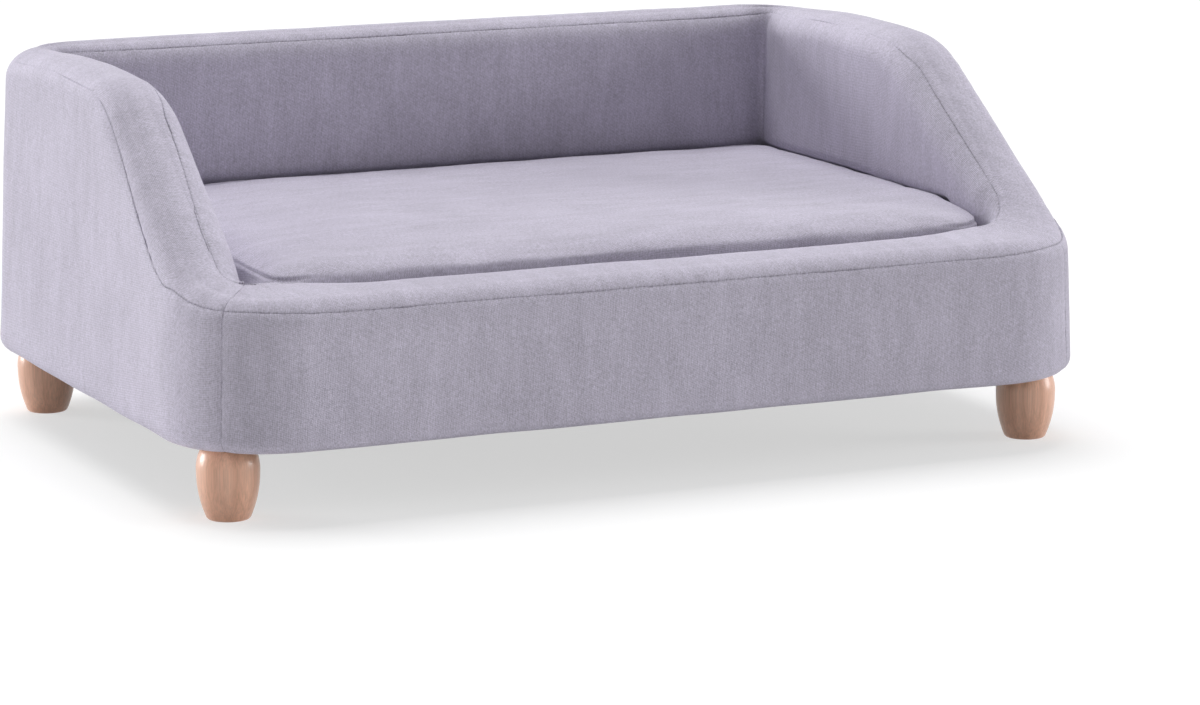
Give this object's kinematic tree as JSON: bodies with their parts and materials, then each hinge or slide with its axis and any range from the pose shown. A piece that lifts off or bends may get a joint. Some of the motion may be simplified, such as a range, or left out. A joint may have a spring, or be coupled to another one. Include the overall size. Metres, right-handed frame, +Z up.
{
  "type": "dog sofa bed",
  "caption": "Low upholstered dog sofa with a high back, arms that sweep down to a low front rail, a loose crowned cushion and short turned wooden legs.",
  "frame": {"origin": "centre of the bed's outline on the floor it stands on", "axes": "+X along the bed's width to the viewer's right, +Y from the front rail to the back, +Z up"},
  "size_m": [0.971, 0.697, 0.38],
  "materials": {
    "velvet": "matte",
    "cushion_velvet": "matte",
    "deck_cloth": "matte",
    "dust_cloth": "matte",
    "foam": "matte",
    "plywood": "matte",
    "pine": "matte",
    "leg_wood": "satin",
    "zinc_steel": "satin",
    "zip_tape": "matte",
    "zip_coil": "satin",
    "zip_metal": "satin"
  },
  "bodies": {
    "sofa": {"base_rail_back": "pine", "base_rail_front": "pine", "base_rail_left": "pine", "base_rail_right": "pine", "block_back_left": "pine", "block_back_right": "pine", "block_front_left": "pine", "block_front_right": "pine", "board_screws": "zinc_steel", "border_front": "velvet", "border_wrap": "velvet", "corner_panel_back_left": "plywood", "corner_panel_back_right": "plywood", "corner_panel_front_left": "plywood", "corner_panel_front_right": "plywood", "cover_front": "velvet", "cover_wrap": "velvet", "crest_cap_back": "plywood", "crest_cap_front": "plywood", "crest_cap_left": "plywood", "crest_cap_right": "plywood", "deck_cloth": "deck_cloth", "dust_cover": "dust_cloth", "foam_back": "foam", "foam_deck": "foam", "foam_front": "foam", "foam_left": "foam", "foam_right": "foam", "inner_panel_back": "plywood", "inner_panel_front": "plywood", "inner_panel_left": "plywood", "inner_panel_right": "plywood", "leg_back_left": "leg_wood", "leg_back_right": "leg_wood", "leg_bolts": "zinc_steel", "leg_front_left": "leg_wood", "leg_front_right": "leg_wood", "leg_inserts": "zinc_steel", "lining_back": "velvet", "lining_front": "velvet", "lining_left": "velvet", "lining_right": "velvet", "outer_panel_back": "plywood", "outer_panel_front": "plywood", "outer_panel_left": "plywood", "outer_panel_right": "plywood", "posts_back": "pine", "posts_front": "pine", "posts_left": "pine", "posts_right": "pine", "seat_board": "plywood"},
    "cushion": {"cushion_cover": "cushion_velvet", "cushion_foam": "foam", "zip_tape": "zip_tape", "zip_coil": "zip_coil"},
    "zip_slider": {"zip_slider": "zip_metal"},
    "zip_pull": {"zip_pull": "zip_metal"}
  },
  "joints": [
    {"name": "cushion_lift", "type": "slide", "parent": "sofa", "child": "cushion", "axis": [0, 0, 1], "range_m": [0, 0.24]},
    {"name": "zip_slide", "type": "slide", "parent": "cushion", "child": "zip_slider", "axis": [-1, 0, 0], "range_m": [0, 0.494]},
    {"name": "zip_pull_swing", "type": "hinge", "parent": "zip_slider", "child": "zip_pull", "pos_m": [0.2645, 0.2701, 0.1931], "axis": [0, 0, 1], "range_deg": [0, 18]}
  ]
}
